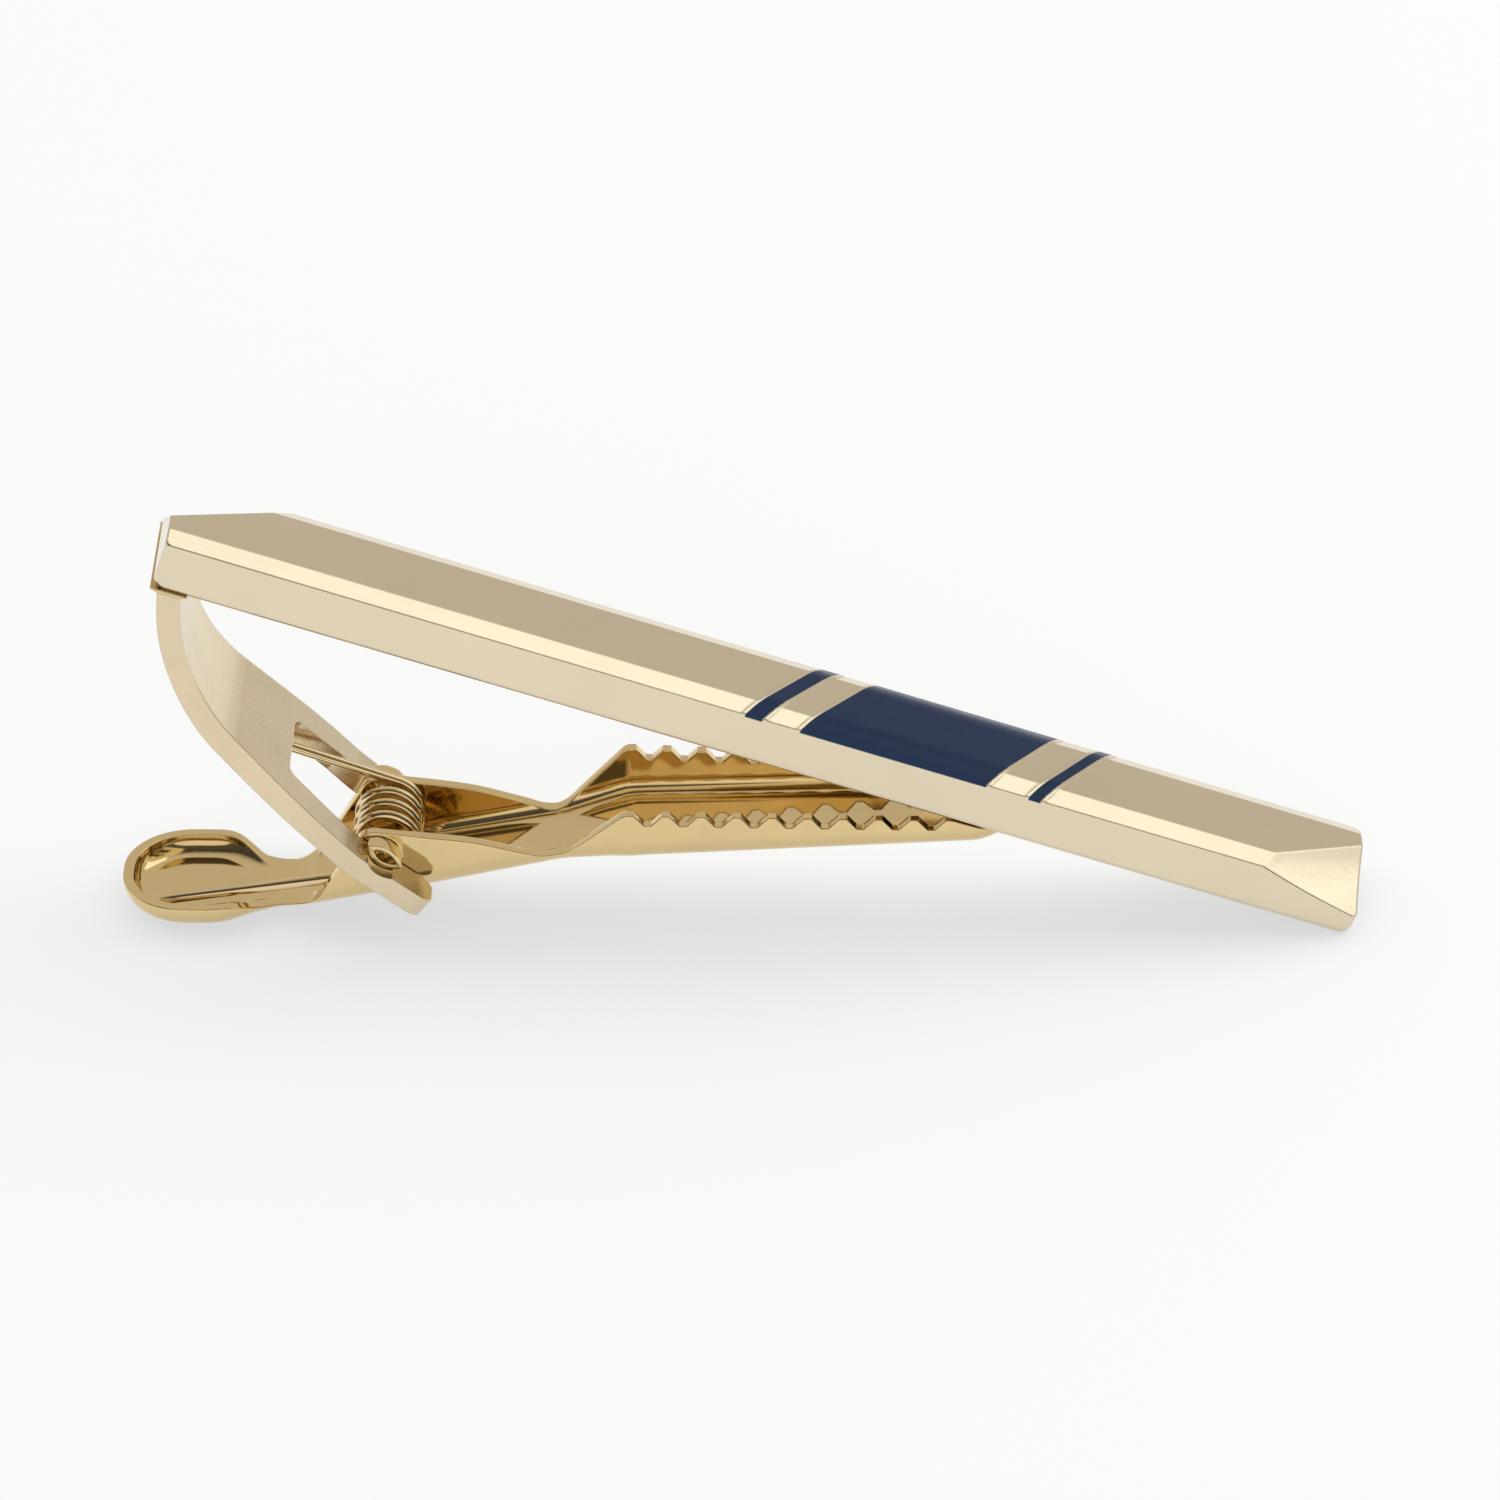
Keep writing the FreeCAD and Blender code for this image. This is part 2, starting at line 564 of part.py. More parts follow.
# Teeth: one notch on the crest line, repeated along it
crest_run = crest_end_x - crest_x
crest_drop = crest_end - crest_start
crest_slope = arctan(crest_drop, crest_run)
notch_x = crest_x + S["tooth_start"]
notch_z = crest_start + crest_drop / crest_run * S["tooth_start"]
half_pitch = S["tooth_pitch"] / 2
notch = new_sketch(jaw, "tooth_notch", "XZ_Plane", at=(notch_x, notch_z),
                   turn=(FreeCAD.Vector(0, 0, 1), crest_slope))
outline(notch, [
    (-half_pitch, ZERO), (S["tooth_land"] - half_pitch, ZERO),
    (-S["tooth_root"] / 2, -S["tooth_depth"]), (S["tooth_root"] / 2, -S["tooth_depth"]),
    (half_pitch - S["tooth_land"], ZERO), (half_pitch, ZERO),
    (half_pitch, S["tooth_depth"]), (-half_pitch, S["tooth_depth"])])
notch_cut = cut(jaw, "tooth_notch_cut", notch)
teeth = jaw.newObject("PartDesign::LinearPattern", "teeth")
teeth.Originals = [notch_cut]
teeth.Direction = (notch, ["H_Axis"])
teeth.Mode = "Spacing"
bind(teeth, "Offset", S["tooth_pitch"])
bind(teeth, "Occurrences", S["tooth_count"])
jaw.Tip = teeth
doc.recompute()

# Rocker lugs: lens-shaped eyes pressed out of the ears, whose round bellies seat in the tines
def lens(sketch, radius, drop):
    """Two like arcs, the lower one about the origin, the upper one about a centre below it."""
    edge_y = -drop.value
    edge_x = math.sqrt(radius.value ** 2 - edge_y ** 2)
    swing = math.asin(edge_x / radius.value)
    up = FreeCAD.Vector(0, 0, 1)
    arcs = []
    for centre_y, middle in ((0.0, -math.pi / 2), (2 * edge_y, math.pi / 2)):
        circle = Part.Circle(FreeCAD.Vector(0, centre_y, 0), up, radius.value)
        arc = Part.ArcOfCircle(circle, middle - swing, middle + swing)
        arcs.append(sketch.addGeometry(arc, False))
    belly, brow = arcs
    sketch.addConstraint(Sketcher.Constraint("Coincident", belly, 3, -1, 1))
    sketch.addConstraint(Sketcher.Constraint("Coincident", belly, 1, brow, 2))
    sketch.addConstraint(Sketcher.Constraint("Coincident", belly, 2, brow, 1))
    sketch.addConstraint(Sketcher.Constraint("PointOnObject", brow, 3, -2))
    fix(sketch, "Radius", radius, belly)
    fix(sketch, "Radius", radius, brow)
    fix(sketch, "DistanceY", drop, brow, 1, -1, 1)


lug_drop = lug_radius - S["lug_height"] / 2
at_axis = {"at": (axis_x, axis_z), "turn": (FreeCAD.Vector(0, 0, 1), -S["tine_angle"])}
lug = new_sketch(jaw, "lug_profile", "XZ_Plane", lift=ear_half - S["jaw_wall"], **at_axis)
lens(lug, lug_radius, lug_drop)
lug_pad = pad(jaw, "lug", lug, S["jaw_wall"] + S["lug_reach"])
lugs = jaw.newObject("PartDesign::Mirrored", "lugs")
lugs.Originals = [lug_pad]
lugs.MirrorPlane = ([i for i in jaw.Origin.OriginFeatures if i.Role == "XZ_Plane"][0], [""])
jaw.Tip = lugs
doc.recompute()
eye = new_sketch(jaw, "lug_eye", "XZ_Plane", **at_axis)
lens(eye, lug_radius - S["lug_rim"], lug_drop)
cut(jaw, "lug_eye_cut", eye)


# Torsion spring: coils about the pivot, one leg under the arm, one on the spoon's floor
def biarc(start, heading, end, heading_end):
    """Two tangent arcs from start to end with the given headings."""
    chord = end - start
    turn = 1 - heading.dot(heading_end)
    along = chord.dot(heading + heading_end)
    reach = (math.sqrt(along * along + 2 * turn * chord.dot(chord)) - along) / (2 * turn)
    first = start + heading * reach
    last = end - heading_end * reach
    middle = (first + last) * 0.5
    arcs = []
    for a, corner, b in ((start, first, middle), (middle, last, end)):
        half = (b - a) * 0.5
        rise = corner - (a + half)
        bulge = half.Length * math.tan(math.acos(half.Length / reach) / 2)
        arcs.append(Part.Arc(a, a + half + rise.normalize() * bulge, b).toShape())
    return arcs


wire = S["wire_thick"].value
coil = S["coil_radius"].value
coil_x = hinge_x.value + S["coil_ahead"].value
grade = S["neck_floor"].value / (neck_x.value - heel_x.value)
stand = S["jaw_wall"].value + S["coil_gap"].value + wire / 2 + coil
coil_z = grade * (coil_x - heel_x.value) + stand * math.hypot(1, grade)


def tangent_angle(x, z, offset, side):
    """Where a line touches the coil that passes a point at an offset."""
    reach = math.hypot(x - coil_x, z - coil_z)
    return math.atan2(z - coil_z, x - coil_x) + side * math.acos(offset / reach)


outer_face = knee_out[0].value * arm_sin.value + knee_out[1].value * arm_cos.value
press_x = outer_face * arm_sin.value - window_top.value * arm_cos.value
press_z = outer_face * arm_cos.value + window_top.value * arm_sin.value
press_off = coil + wire / 2 + S["leg_gap"].value
rest_x = spoon_x.value + S["leg_inset"].value
rest_z = S["jaw_wall"].value + wire / 2 + S["leg_gap"].value
angle_start = tangent_angle(press_x, press_z, press_off, -1)
angle_end = tangent_angle(rest_x, rest_z, coil, 1) - 2 * math.pi * S["coil_turns"].value
sweep = angle_start - angle_end
quarter = math.pi / 2
half_axial = S["coil_span"].value / 2
pitch = S["coil_span"].value * 2 * math.pi / (sweep - quarter)


def axial(angle):
    """Distance wound along the axis, the pitch easing in and out over a quarter turn."""
    gone = angle_start - angle
    rate = pitch / (2 * math.pi)
    if gone < quarter:
        return rate * gone * gone / (2 * quarter)
    if gone > sweep - quarter:
        left = sweep - gone
        return rate * (sweep - quarter - left * left / (2 * quarter))
    return rate * (gone - quarter / 2)


def on_coil(angle):
    return FreeCAD.Vector(coil_x + coil * math.cos(angle), half_axial - axial(angle),
                          coil_z + coil * math.sin(angle))


def heading(angle):
    gone = angle_start - angle
    rate = pitch / (2 * math.pi) * max(0.0, min(1.0, gone / quarter, (sweep - gone) / quarter))
    return FreeCAD.Vector(coil * math.sin(angle), -rate, -coil * math.cos(angle)).normalize()


steps = 2 * (int(S["coil_turns"].value) + 1)
angles = [angle_start - sweep * i / steps for i in range(steps + 1)]
upper = on_coil(angle_start)
lower = on_coil(angle_end)
upper_length = (press_x - upper.x) / -heading(angle_start).x + S["leg_past"].value
upper_end = upper - heading(angle_start) * upper_length
lower_end = lower + heading(angle_end) * ((rest_x - lower.x) / heading(angle_end).x)
edges = [Part.LineSegment(upper_end, upper).toShape()]
for a, b in zip(angles, angles[1:]):
    edges += biarc(on_coil(a), heading(a), on_coil(b), heading(b))
edges.append(Part.LineSegment(lower, lower_end).toShape())
path = Part.Wire(edges)
ring = Part.Wire(Part.Circle(upper_end, heading(angle_start), wire / 2).toShape())
tube = path.makePipeShell([ring], True, False)
if tube.Volume < 0:
    tube.reverse()
drawn = math.pi * wire * wire / 4 * path.Length
points = path.discretize(GAP_POINTS)
spacing = path.Length / (GAP_POINTS - 1)
apart = [points[i].distanceToPoint(points[j]) for i in range(GAP_POINTS)
         for j in range(i + 1, GAP_POINTS) if (j - i) * spacing > math.pi * coil]
print("spring volume %.4f, section times length %.4f" % (tube.Volume, drawn))
print("spring least gap to itself %.3f" % (min(apart) - wire))
spring = doc.addObject("Part::Feature", "torsion_spring")
spring.Label = "torsion_spring"
spring.Shape = tube
doc.recompute()

# Check everything, then write each piece
print("hinge axis %.4f %.4f" % (axis_x.value, axis_z.value))
for item in doc.Objects:
    if "Invalid" in item.State or "Error" in item.State:
        raise RuntimeError("%s did not build: %s" % (item.Name, item.State))
pieces = [item for item in doc.Objects
          if item.TypeId == "PartDesign::Body" or item.Label == "torsion_spring"]
for piece in pieces:
    if piece.Shape.isNull() or not piece.Shape.isValid() or len(piece.Shape.Solids) != 1:
        raise RuntimeError(piece.Label + " is not one valid solid")
os.makedirs("parts", exist_ok=True)
for piece in pieces:
    piece.Shape.exportStep("parts/%s.step" % piece.Label)
    print(piece.Label, round(piece.Shape.Volume, 3), piece.Shape.BoundBox)
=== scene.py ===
"""Looks of a pinch tie clip: polished bar, navy enamel, satin clasp, wound spring and a plain studio."""

import math

import bmesh
import bpy
from bpy.props import FloatProperty, FloatVectorProperty, IntProperty, PointerProperty
from mathutils import Matrix, Vector


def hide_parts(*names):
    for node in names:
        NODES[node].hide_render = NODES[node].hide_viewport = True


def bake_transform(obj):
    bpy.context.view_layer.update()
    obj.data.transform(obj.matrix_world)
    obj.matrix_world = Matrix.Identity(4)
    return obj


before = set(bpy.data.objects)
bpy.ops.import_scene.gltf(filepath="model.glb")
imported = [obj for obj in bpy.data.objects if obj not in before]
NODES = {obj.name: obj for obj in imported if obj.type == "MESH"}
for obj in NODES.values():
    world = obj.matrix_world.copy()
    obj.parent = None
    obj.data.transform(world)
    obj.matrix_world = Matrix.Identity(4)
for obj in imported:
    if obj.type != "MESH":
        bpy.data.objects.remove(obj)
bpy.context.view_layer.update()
MM = 0.001

# Bar and plate: the bar's tilt, the strength of each grain, and edge breaks as shares of the common one
BAR_TILT = math.radians(18.76)
BAR_GRAIN, ARM_GRAIN, JAW_GRAIN, PLAIN_GRAIN = 0.05, 0.16, 0.06, 0.10
BAR_EDGE, JAW_EDGE = 2.0, 1.8
SOLDER_ROUGH = 0.22
POLISH_LINES = (120.0, 9000.0, 9000.0)
LINE_DEPTH, GRAIN_DEPTH, WAVE_DEPTH = 0.002 * MM, 0.006 * MM, 0.01 * MM

# Spring: the middle of its coil and the rounded ends of the wire
COIL_CENTRE = Vector((-17.133, 0.0, 3.975)) * MM
RIM_SHARE = 0.15
RIM_WIDTH = 0.6
WELD_REACH = 0.0005 * MM

# Studio: wall brightness from behind the camera (0) to beyond the clip (1),
# and the place, size and watts of each softbox
WALL_LEVELS = [
    (0.0, 0.92), (0.085, 0.85), (0.11, 0.10), (0.40, 0.06),
    (0.50, 0.40), (0.62, 0.58), (0.74, 0.63), (1.0, 0.63),
]
WALL_TINT = (1.0, 0.94, 0.86)
LAMP_TINT = (0.90, 0.97, 1.0)
SOFTBOXES = [
    ("softbox_right", (0.37, 0.15, 0.44), (0.45, 0.45), 0.50),
    ("softbox_low", (0.52, 0.08, 0.22), (0.28, 0.28), 0.045),
]
FLOOR_COLOUR = (0.70, 0.72, 0.75, 1.0)
FLOOR_GLOW = 0.635
SENSOR_WIDTH = 36.0
NEAREST_SIGHT = 0.01

bl_info = {
    "name": "Tie Clip Looks",
    "version": (1, 0, 0),
    "blender": (4, 5, 0),
    "location": "View3D > Sidebar > Tie Clip",
    "description": "Finishes, spring and studio for a pinch tie clip",
    "category": "Object",
}


# Settings

class ClipFinishSettings(bpy.types.PropertyGroup):
    """Colours and polish of the plated metal and the enamel."""

    bar_gold: FloatVectorProperty(
        name="Bar gold", description="Pale gold plate of the bar",
        subtype="COLOR", size=3, min=0.0, max=1.0, default=(0.78, 0.68, 0.50))
    arm_gold: FloatVectorProperty(
        name="Arm gold", description="Pale gold plate of the forked arm",
        subtype="COLOR", size=3, min=0.0, max=1.0, default=(0.76, 0.64, 0.44))
    jaw_gold: FloatVectorProperty(
        name="Jaw gold", description="Richer gold plate of the jaw",
        subtype="COLOR", size=3, min=0.0, max=1.0, default=(0.79, 0.61, 0.31))
    solder_gold: FloatVectorProperty(
        name="Solder gold", description="Plated solder bead under the bar",
        subtype="COLOR", size=3, min=0.0, max=1.0, default=(0.74, 0.60, 0.37))
    wire_gold: FloatVectorProperty(
        name="Wire gold", description="Plated spring wire",
        subtype="COLOR", size=3, min=0.0, max=1.0, default=(0.80, 0.64, 0.38))
    enamel_navy: FloatVectorProperty(
        name="Enamel navy", description="Hard enamel in the three cells",
        subtype="COLOR", size=3, min=0.0, max=1.0, default=(0.005, 0.036, 0.124))
    bar_polish: FloatProperty(
        name="Bar roughness", description="Roughness of the polished bar",
        subtype="FACTOR", min=0.0, max=1.0, default=0.16)
    clasp_polish: FloatProperty(
        name="Clasp roughness", description="Roughness of the plated clasp",
        subtype="FACTOR", min=0.0, max=1.0, default=0.075)
    solder_swell: FloatProperty(
        name="Solder swell", description="How far the solder bead stands out of its seam",
        subtype="DISTANCE", unit="LENGTH", min=0.0, max=0.3 * MM, default=0.035 * MM)
    arm_polish: FloatProperty(
        name="Arm roughness", description="Roughness of the satin arm",
        subtype="FACTOR", min=0.0, max=1.0, default=0.22)
    edge_break: FloatProperty(
        name="Edge break", description="Width of the polished break along every edge",
        subtype="DISTANCE", unit="LENGTH", min=0.0, max=0.5 * MM, default=0.08 * MM)


class ClipSpringSettings(bpy.types.PropertyGroup):
    """Sizes of the torsion spring, as the solid has them."""

    wire: FloatProperty(
        name="Wire", description="Diameter of the spring wire",
        subtype="DISTANCE", unit="LENGTH", min=0.1 * MM, max=2 * MM, default=0.5 * MM)
    coil_radius: FloatProperty(
        name="Coil radius", description="Radius of the coil at the middle of the wire",
        subtype="DISTANCE", unit="LENGTH", min=0.5 * MM, max=4 * MM, default=1.45 * MM)
    coil_span: FloatProperty(
        name="Coil span", description="Distance between the two legs across the clip",
        subtype="DISTANCE", unit="LENGTH", min=1 * MM, max=8 * MM, default=3.553 * MM)
    full_turns: IntProperty(
        name="Full turns", description="Whole turns of the coil besides the part turn between the legs",
        min=1, max=8, default=3)
    upper_end: FloatVectorProperty(
        name="Upper end", description="End of the leg that presses the arm",
        subtype="TRANSLATION", unit="LENGTH", size=3,
        default=(-23.648 * MM, 1.7765 * MM, 8.0156 * MM))
    lower_end: FloatVectorProperty(
        name="Lower end", description="End of the leg that lies in the spoon",
        subtype="TRANSLATION", unit="LENGTH", size=3,
        default=(-28.153 * MM, -1.7765 * MM, 0.78 * MM))
    wire_sides: IntProperty(
        name="Wire sides", description="Sides of the wire's section",
        min=8, max=48, default=20)
    steps_per_turn: IntProperty(
        name="Steps per turn", description="Sections wound in each turn of the coil",
        min=12, max=120, default=48)
    leg_steps: IntProperty(
        name="Leg steps", description="Sections along each leg",
        min=1, max=60, default=12)


class ClipStageSettings(bpy.types.PropertyGroup):
    """Floor, light and camera of the studio."""

    floor_size: FloatProperty(
        name="Floor size", description="Side of the square floor",
        subtype="DISTANCE", unit="LENGTH", min=0.2, max=20, default=3.0)
    camera_target: FloatVectorProperty(
        name="Camera target", description="Point that the camera looks at",
        subtype="TRANSLATION", unit="LENGTH", size=3, default=(0.2465 * MM, 0.0, 8.44 * MM))
    camera_distance: FloatProperty(
        name="Camera distance", description="Distance from the camera to its target",
        subtype="DISTANCE", unit="LENGTH", min=0.05, max=5, default=0.28)
    camera_elevation: FloatProperty(
        name="Camera elevation", description="Height of the camera above the horizon",
        subtype="ANGLE", default=math.radians(32.87))
    camera_roll: FloatProperty(
        name="Camera roll", description="Turn of the camera about the line across the clip",
        subtype="ANGLE", default=math.radians(-0.42))
    camera_lens: FloatProperty(
        name="Lens", description="Focal length in millimetres on a 36 mm sensor",
        min=20, max=400, default=140.47)


# Materials

class Shader:
    """A node material being put together, one named node at a time."""

    def __init__(self, name):
        self.material = bpy.data.materials.new(name)
        self.material.use_nodes = True
        self.tree = self.material.node_tree
        self.tree.nodes.clear()
        self.output = self.add("ShaderNodeOutputMaterial")
        self.surface = self.add("ShaderNodeBsdfPrincipled")
        self.link(self.surface.outputs["BSDF"], self.output.inputs["Surface"])
        self.place = self.add("ShaderNodeTexCoord").outputs["Object"]

    def add(self, kind, **settings):
        node = self.tree.nodes.new(kind)
        for name, value in settings.items():
            setattr(node, name, value)
        return node

    def link(self, source, target):
        self.tree.links.new(source, target)

    def set(self, **values):
        for name, value in values.items():
            self.surface.inputs[name.replace("_", " ")].default_value = value

    def stretched(self, scale, turn=(0.0, 0.0, 0.0)):
        """Object coordinates, turned and then scaled along each axis."""
        mapping = self.add("ShaderNodeMapping", vector_type="TEXTURE")
        mapping.inputs["Rotation"].default_value = turn
        mapping.inputs["Scale"].default_value = [1.0 / s for s in scale]
        self.link(self.place, mapping.inputs["Vector"])
        return mapping.outputs["Vector"]

    def noise(self, vector, scale, detail=4.0, roughness=0.55):
        node = self.add("ShaderNodeTexNoise")
        node.inputs["Scale"].default_value = scale
        node.inputs["Detail"].default_value = detail
        node.inputs["Roughness"].default_value = roughness
        self.link(vector, node.inputs["Vector"])
        return node.outputs["Fac"]

    def spread(self, value, low, high, start=0.3, end=0.7):
        """Map a noise value from its own spread to the wanted one."""
        node = self.add("ShaderNodeMapRange")
        node.inputs["From Min"].default_value = start
        node.inputs["From Max"].default_value = end
        node.inputs["To Min"].default_value = low
        node.inputs["To Max"].default_value = high
        self.link(value, node.inputs["Value"])
        return node.outputs["Result"]

    def tint(self, value, first, second):
        node = self.add("ShaderNodeMix", data_type="RGBA")
        node.inputs["A"].default_value = (*first, 1.0)
        node.inputs["B"].default_value = (*second, 1.0)
        self.link(value, node.inputs["Factor"])
        return node.outputs["Result"]

    def bump(self, value, strength, distance, edge=0.0):
        """Fine relief, over edges that are softened by a small radius."""
        soft = self.add("ShaderNodeBevel", samples=8)
        soft.inputs["Radius"].default_value = edge
        node = self.add("ShaderNodeBump")
        self.link(soft.outputs["Normal"], node.inputs["Normal"])
        node.inputs["Strength"].default_value = strength
        node.inputs["Distance"].default_value = distance
        self.link(value, node.inputs["Height"])
        self.link(node.outputs["Normal"], self.surface.inputs["Normal"])


def shade(colour, factor):
    return tuple(min(1.0, part * factor) for part in colour)


def polished_plate(name, colour, rough, turn, grain, edge):
    """Plated metal: faint polishing lines along the piece, slow drift of tone and polish."""
    shader = Shader(name)
    shader.set(Metallic=1.0)
    lines = shader.noise(shader.stretched(POLISH_LINES, turn), scale=1.0, detail=3.0)
    drift = shader.noise(shader.place, scale=160.0, detail=3.0)
    shader.link(shader.tint(shader.spread(drift, 0.0, 1.0), shade(colour, 0.97), shade(colour, 1.02)),
                shader.surface.inputs["Base Color"])
    shader.link(shader.spread(lines, rough * 0.8, rough * 1.25), shader.surface.inputs["Roughness"])
    shader.bump(lines, grain, LINE_DEPTH, edge)
    return shader.material


def satin_plate(name, colour, rough, edge, strength):
    """Plated sheet or wire: a fine rolled grain under the plate, slow drift of tone."""
    shader = Shader(name)
    shader.set(Metallic=1.0)
    grain = shader.noise(shader.place, scale=5200.0, detail=5.0)
    drift = shader.noise(shader.place, scale=220.0, detail=3.0)
    shader.link(shader.tint(shader.spread(drift, 0.0, 1.0), shade(colour, 0.95), shade(colour, 1.03)),
                shader.surface.inputs["Base Color"])
    shader.link(shader.spread(grain, rough * 0.75, rough * 1.3), shader.surface.inputs["Roughness"])
    shader.bump(grain, strength, GRAIN_DEPTH, edge)
    return shader.material


def hard_enamel(name, colour):
    """Fired enamel: clear gloss over a navy body with a slight wave from polishing."""
    shader = Shader(name)
    shader.set(Metallic=0.0, IOR=1.5, Specular_IOR_Level=0.18)
    cloud = shader.noise(shader.place, scale=900.0, detail=4.0)
    wave = shader.noise(shader.place, scale=420.0, detail=2.0)
    shader.link(shader.tint(shader.spread(cloud, 0.0, 1.0), shade(colour, 0.92), shade(colour, 1.1)),
                shader.surface.inputs["Base Color"])
    shader.link(shader.spread(cloud, 0.20, 0.32), shader.surface.inputs["Roughness"])
    shader.bump(wave, strength=0.12, distance=WAVE_DEPTH)
    return shader.material


# Shared helpers

def dress(node, material):
    """Give a solid one material all over."""
    mesh = NODES[node].data
    mesh.materials.clear()
    mesh.materials.append(material)


# Operators

class TIECLIP_OT_dress_bar(bpy.types.Operator):
    """Polish the bar and its solder seam"""

    bl_idname = "tieclip.dress_bar"
    bl_label = "Dress Bar"

    def execute(self, context):
        finish = context.scene.clip_finish
        tilt = (0.0, BAR_TILT, 0.0)
        dress("front_bar", polished_plate(
            "bar_gold", finish.bar_gold, finish.bar_polish, tilt, BAR_GRAIN, finish.edge_break * BAR_EDGE))
        dress("solder_seam", satin_plate(
            "solder_gold", finish.solder_gold, SOLDER_ROUGH, edge=0.0, strength=PLAIN_GRAIN))
        swell = NODES["solder_seam"].modifiers.new("solder_swell", "SOLIDIFY")
        swell.thickness = finish.solder_swell
        swell.offset = 1.0
        return {"FINISHED"}


class TIECLIP_OT_dress_enamel(bpy.types.Operator):
    """Fill the three cells with navy enamel"""

    bl_idname = "tieclip.dress_enamel"
    bl_label = "Dress Enamel"

    def execute(self, context):
        enamel = hard_enamel("enamel_navy", context.scene.clip_finish.enamel_navy)
        for node in ("enamel_panel", "enamel_stripe_wide", "enamel_stripe_narrow"):
            dress(node, enamel)
        return {"FINISHED"}


class TIECLIP_OT_dress_clasp(bpy.types.Operator):
    """Plate the forked arm and the toothed jaw"""

    bl_idname = "tieclip.dress_clasp"
    bl_label = "Dress Clasp"

    def execute(self, context):
        finish = context.scene.clip_finish
        dress("spring_arm", satin_plate(
            "arm_gold", finish.arm_gold, finish.arm_polish, finish.edge_break, ARM_GRAIN))
        dress("jaw", satin_plate(
            "jaw_gold", finish.jaw_gold, finish.clasp_polish, finish.edge_break * JAW_EDGE, JAW_GRAIN))
        return {"FINISHED"}


class TIECLIP_OT_wind_spring(bpy.types.Operator):
    """Wind the torsion spring between the arm and the jaw"""

    bl_idname = "tieclip.wind_spring"
    bl_label = "Wind Spring"

    def execute(self, context):
        sizes = context.scene.clip_spring
        upper, lower = Vector(sizes.upper_end), Vector(sizes.lower_end)
        upper_angle, upper_touch = self.touch(upper, sizes.coil_radius, 1.0)
        lower_angle, lower_touch = self.touch(lower, sizes.coil_radius, -1.0)
        sweep = upper_angle - lower_angle + sizes.full_turns * math.tau
        steps = round(sizes.steps_per_turn * sweep / math.tau)
        wire = bmesh.new()
        facing = (upper_touch - upper).to_track_quat("Z", "Y").to_matrix().to_4x4()
        section = bmesh.ops.create_circle(
            wire, segments=sizes.wire_sides, radius=sizes.wire / 2,
            matrix=Matrix.Translation(upper_touch) @ facing)["verts"]
        first = wire.edges[:]
        wound = bmesh.ops.spin(
            wire, geom=section + first, cent=COIL_CENTRE, axis=(0.0, 1.0, 0.0), angle=sweep, steps=steps,
            dvec=(0.0, -sizes.coil_span / steps, 0.0))["geom_last"]
        last = [item for item in wound if isinstance(item, bmesh.types.BMEdge)]
        self.draw_leg(wire, first, upper - upper_touch, sizes)
        self.draw_leg(wire, last, lower - lower_touch, sizes)
        bmesh.ops.remove_doubles(wire, verts=wire.verts[:], dist=WELD_REACH)
        bmesh.ops.recalc_face_normals(wire, faces=wire.faces[:])
        for face in wire.faces:
            face.smooth = len(face.verts) == 4
        mesh = bpy.data.meshes.new("wound_spring")
        wire.to_mesh(mesh)
        wire.free()
        spring = bpy.data.objects.new("wound_spring", mesh)
        context.scene.collection.objects.link(spring)
        finish = context.scene.clip_finish
        mesh.materials.append(satin_plate(
            "wire_gold", finish.wire_gold, finish.clasp_polish, edge=0.0, strength=PLAIN_GRAIN))
        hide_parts("torsion_spring")
        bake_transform(spring)
        return {"FINISHED"}

    def touch(self, end, radius, side):
        """Angle and place at which a leg's straight line touches the coil."""
        away = end - COIL_CENTRE
        reach = math.hypot(away.x, away.z)
        angle = math.atan2(away.z, away.x) - side * math.acos(radius / reach)
        angle = math.remainder(angle, math.tau)
        return angle, Vector((COIL_CENTRE.x + radius * math.cos(angle), end.y,
                              COIL_CENTRE.z + radius * math.sin(angle)))

    def draw_leg(self, wire, ring, way, sizes):
        """Draw the open end of the tube out along a leg, round its rim and close it."""
        rim = sizes.wire * RIM_SHARE
        straight = way.normalized() * (way.length - rim)
        moves = [(straight / sizes.leg_steps, 1.0)] * sizes.leg_steps
        moves.append((way.normalized() * rim, RIM_WIDTH))
        for move, width in moves:
            drawn = bmesh.ops.extrude_edge_only(wire, edges=ring)["geom"]
            ends = [item for item in drawn if isinstance(item, bmesh.types.BMVert)]
            ring = [item for item in drawn if isinstance(item, bmesh.types.BMEdge)
                    and all(vert in ends for vert in item.verts)]
            bmesh.ops.translate(wire, verts=ends, vec=move)
            middle = sum((vert.co for vert in ends), Vector()) / len(ends)
            bmesh.ops.scale(wire, verts=ends, vec=(width,) * 3, space=Matrix.Translation(-middle))
        bmesh.ops.edgeloop_fill(wire, edges=ring)


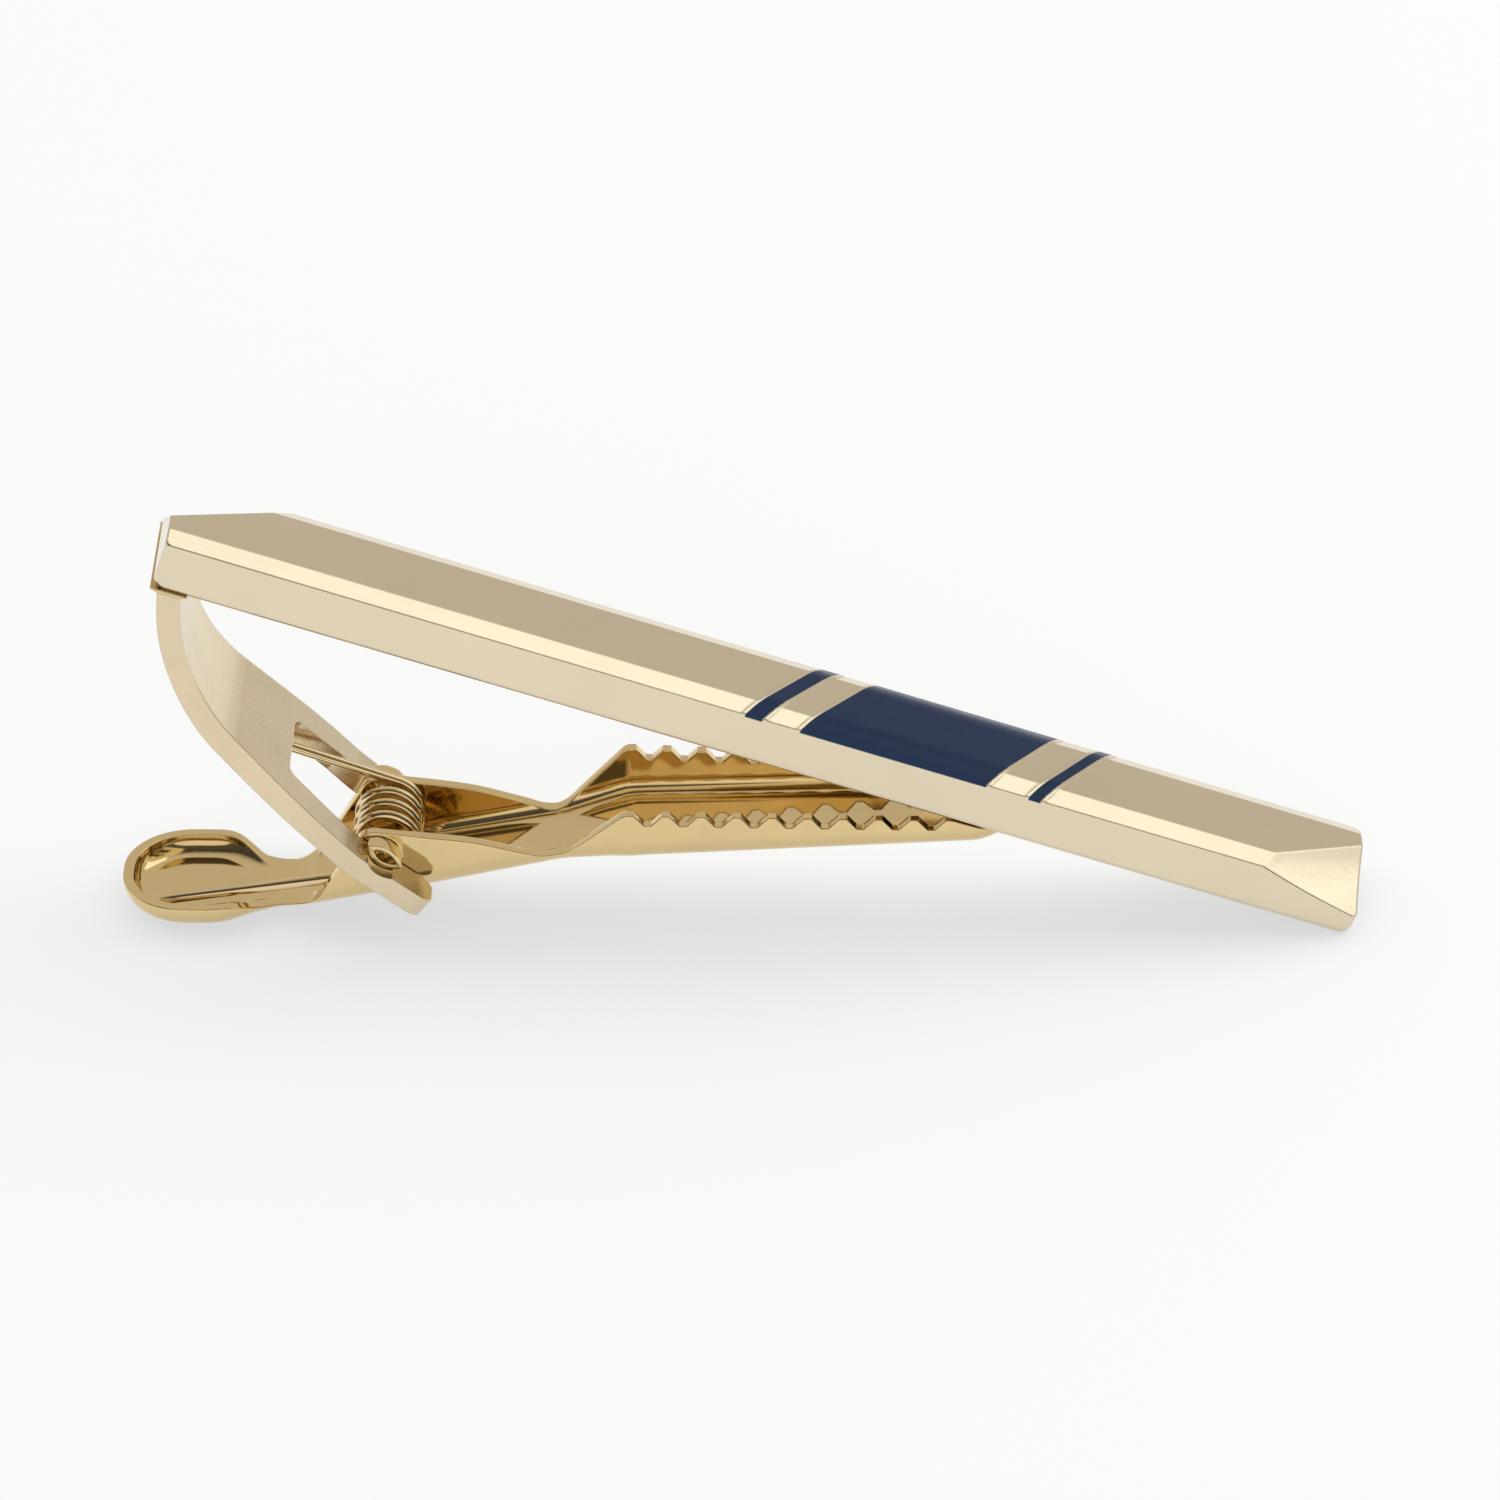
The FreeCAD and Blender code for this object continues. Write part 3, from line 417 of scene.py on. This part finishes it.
class TIECLIP_OT_set_stage(bpy.types.Operator):
    """Set the floor, the light and the camera"""

    bl_idname = "tieclip.set_stage"
    bl_label = "Set Stage"

    def execute(self, context):
        stage = context.scene.clip_stage
        self.lay_floor(context, stage)
        self.light_room(context)
        self.hang_lamps(context)
        self.place_camera(context, stage)
        context.scene.view_settings.view_transform = "Standard"
        context.scene.cycles.caustics_reflective = False
        return {"FINISHED"}

    def lay_floor(self, context, stage):
        mesh = bpy.data.meshes.new("floor")
        sheet = bmesh.new()
        bmesh.ops.create_grid(sheet, x_segments=1, y_segments=1, size=stage.floor_size / 2)
        sheet.to_mesh(mesh)
        sheet.free()
        floor = bpy.data.objects.new("floor", mesh)
        context.scene.collection.objects.link(floor)
        shader = Shader("floor_white")
        shader.set(Base_Color=FLOOR_COLOUR, Roughness=0.9, Specular_IOR_Level=0.0)
        shader.set(Emission_Color=(1.0, 1.0, 1.0, 1.0), Emission_Strength=FLOOR_GLOW)
        mesh.materials.append(shader.material)

    def light_room(self, context):
        """A studio that is dark behind the camera and pale beyond the clip."""
        world = bpy.data.worlds.new("studio")
        context.scene.world = world
        world.use_nodes = True
        tree = world.node_tree
        tree.nodes.clear()
        output = tree.nodes.new("ShaderNodeOutputWorld")
        walls = tree.nodes.new("ShaderNodeBackground")
        place = tree.nodes.new("ShaderNodeTexCoord")
        split = tree.nodes.new("ShaderNodeSeparateXYZ")
        across = tree.nodes.new("ShaderNodeMapRange")
        across.inputs["From Min"].default_value = -1.0
        ramp = tree.nodes.new("ShaderNodeValToRGB")
        while len(ramp.color_ramp.elements) < len(WALL_LEVELS):
            ramp.color_ramp.elements.new(0.5)
        for element, (position, level) in zip(ramp.color_ramp.elements, WALL_LEVELS):
            element.position = position
            element.color = (*shade(WALL_TINT, level), 1.0)
        tree.links.new(place.outputs["Generated"], split.inputs["Vector"])
        tree.links.new(split.outputs["Y"], across.inputs["Value"])
        tree.links.new(across.outputs["Result"], ramp.inputs["Fac"])
        tree.links.new(ramp.outputs["Color"], walls.inputs["Color"])
        tree.links.new(walls.outputs["Background"], output.inputs["Surface"])

    def hang_lamps(self, context):
        """Softboxes, each aimed at the clip."""
        for name, spot, size, watts in SOFTBOXES:
            lamp = bpy.data.lights.new(name, "AREA")
            lamp.shape = "RECTANGLE"
            lamp.size, lamp.size_y = size
            lamp.energy = watts
            lamp.color = LAMP_TINT
            holder = bpy.data.objects.new(name, lamp)
            holder.location = spot
            holder.rotation_euler = (-Vector(spot)).to_track_quat("-Z", "Y").to_euler()
            context.scene.collection.objects.link(holder)

    def place_camera(self, context, stage):
        lens = bpy.data.cameras.new("camera")
        lens.sensor_width = SENSOR_WIDTH
        lens.lens = stage.camera_lens
        lens.clip_start = NEAREST_SIGHT
        camera = bpy.data.objects.new("camera", lens)
        camera.matrix_world = (
            Matrix.Translation(stage.camera_target)
            @ Matrix.Rotation(stage.camera_roll, 4, "Y")
            @ Matrix.Rotation(math.pi / 2 - stage.camera_elevation, 4, "X")
            @ Matrix.Translation((0.0, 0.0, stage.camera_distance)))
        context.scene.collection.objects.link(camera)
        context.scene.camera = camera


class TIECLIP_PT_looks(bpy.types.Panel):
    """Buttons and settings of the tie clip"""

    bl_idname = "TIECLIP_PT_looks"
    bl_label = "Tie Clip"
    bl_space_type = "VIEW_3D"
    bl_region_type = "UI"
    bl_category = "Tie Clip"

    def draw(self, context):
        layout = self.layout
        for group in ("clip_finish", "clip_spring", "clip_stage"):
            settings = getattr(context.scene, group)
            box = layout.box()
            for name in settings.bl_rna.properties.keys():
                if name not in ("rna_type", "name"):
                    box.prop(settings, name)
        for step in STEPS:
            layout.operator(step.bl_idname)


STEPS = (
    TIECLIP_OT_dress_bar,
    TIECLIP_OT_dress_enamel,
    TIECLIP_OT_dress_clasp,
    TIECLIP_OT_wind_spring,
    TIECLIP_OT_set_stage,
)
GROUPS = {
    "clip_finish": ClipFinishSettings,
    "clip_spring": ClipSpringSettings,
    "clip_stage": ClipStageSettings,
}


def register():
    for group in GROUPS.values():
        bpy.utils.register_class(group)
    for name, group in GROUPS.items():
        setattr(bpy.types.Scene, name, PointerProperty(type=group))
    for step in STEPS:
        bpy.utils.register_class(step)
    bpy.utils.register_class(TIECLIP_PT_looks)


def unregister():
    bpy.utils.unregister_class(TIECLIP_PT_looks)
    for step in reversed(STEPS):
        bpy.utils.unregister_class(step)
    for name in GROUPS:
        delattr(bpy.types.Scene, name)
    for group in reversed(list(GROUPS.values())):
        bpy.utils.unregister_class(group)


def main():
    register()
    bpy.ops.tieclip.dress_bar()
    bpy.ops.tieclip.dress_enamel()
    bpy.ops.tieclip.dress_clasp()
    bpy.ops.tieclip.wind_spring()
    bpy.ops.tieclip.set_stage()
    bpy.context.view_layer.update()


if __name__ == "__main__":
    main()
